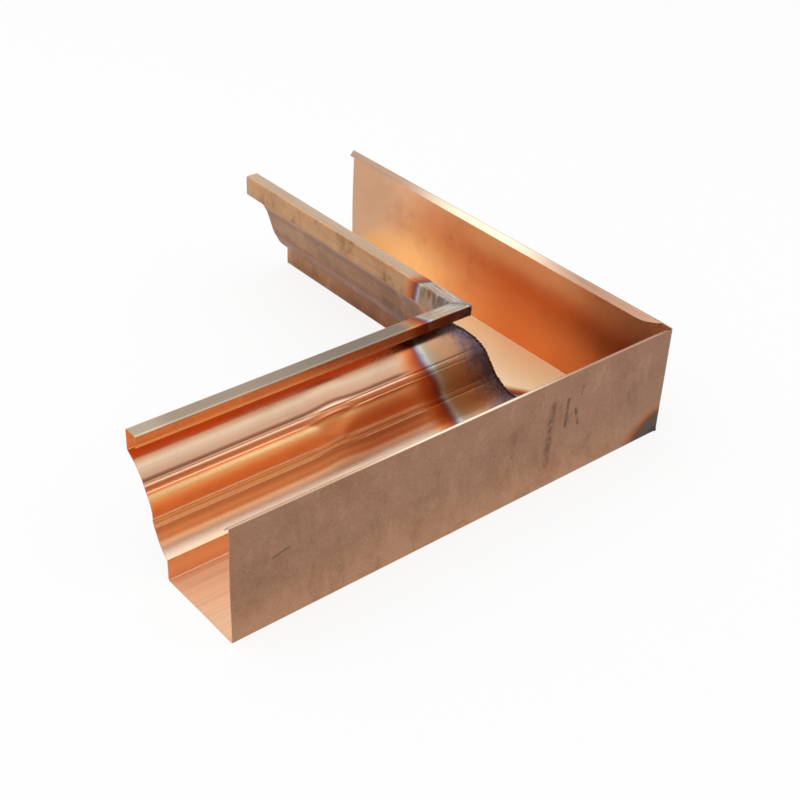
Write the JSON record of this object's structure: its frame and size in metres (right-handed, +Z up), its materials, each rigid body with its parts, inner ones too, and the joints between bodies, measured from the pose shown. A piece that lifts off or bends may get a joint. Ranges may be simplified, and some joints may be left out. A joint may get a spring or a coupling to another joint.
{
  "type": "gutter inside miter",
  "caption": "L-shaped inside corner for an ogee-front copper gutter: one folded sheet with boxed front lips, flanged back walls and a welded mitre.",
  "frame": {"origin": "middle of the base rectangle that the outsides of the two legs span, on the underside", "axes": "+Z up, +X along leg A towards the outer corner, +Y along leg B away from the outer corner"},
  "size_m": [0.422, 0.412, 0.1063],
  "materials": {
    "copper_sheet": "mill-bright copper sheet, lightly smudged, with heat tint beside the weld",
    "weld_bead": "rough dark weld bead"
  },
  "bodies": {
    "root": {"folded_gutter": "copper_sheet", "miter_weld": "weld_bead"}
  },
  "joints": []
}
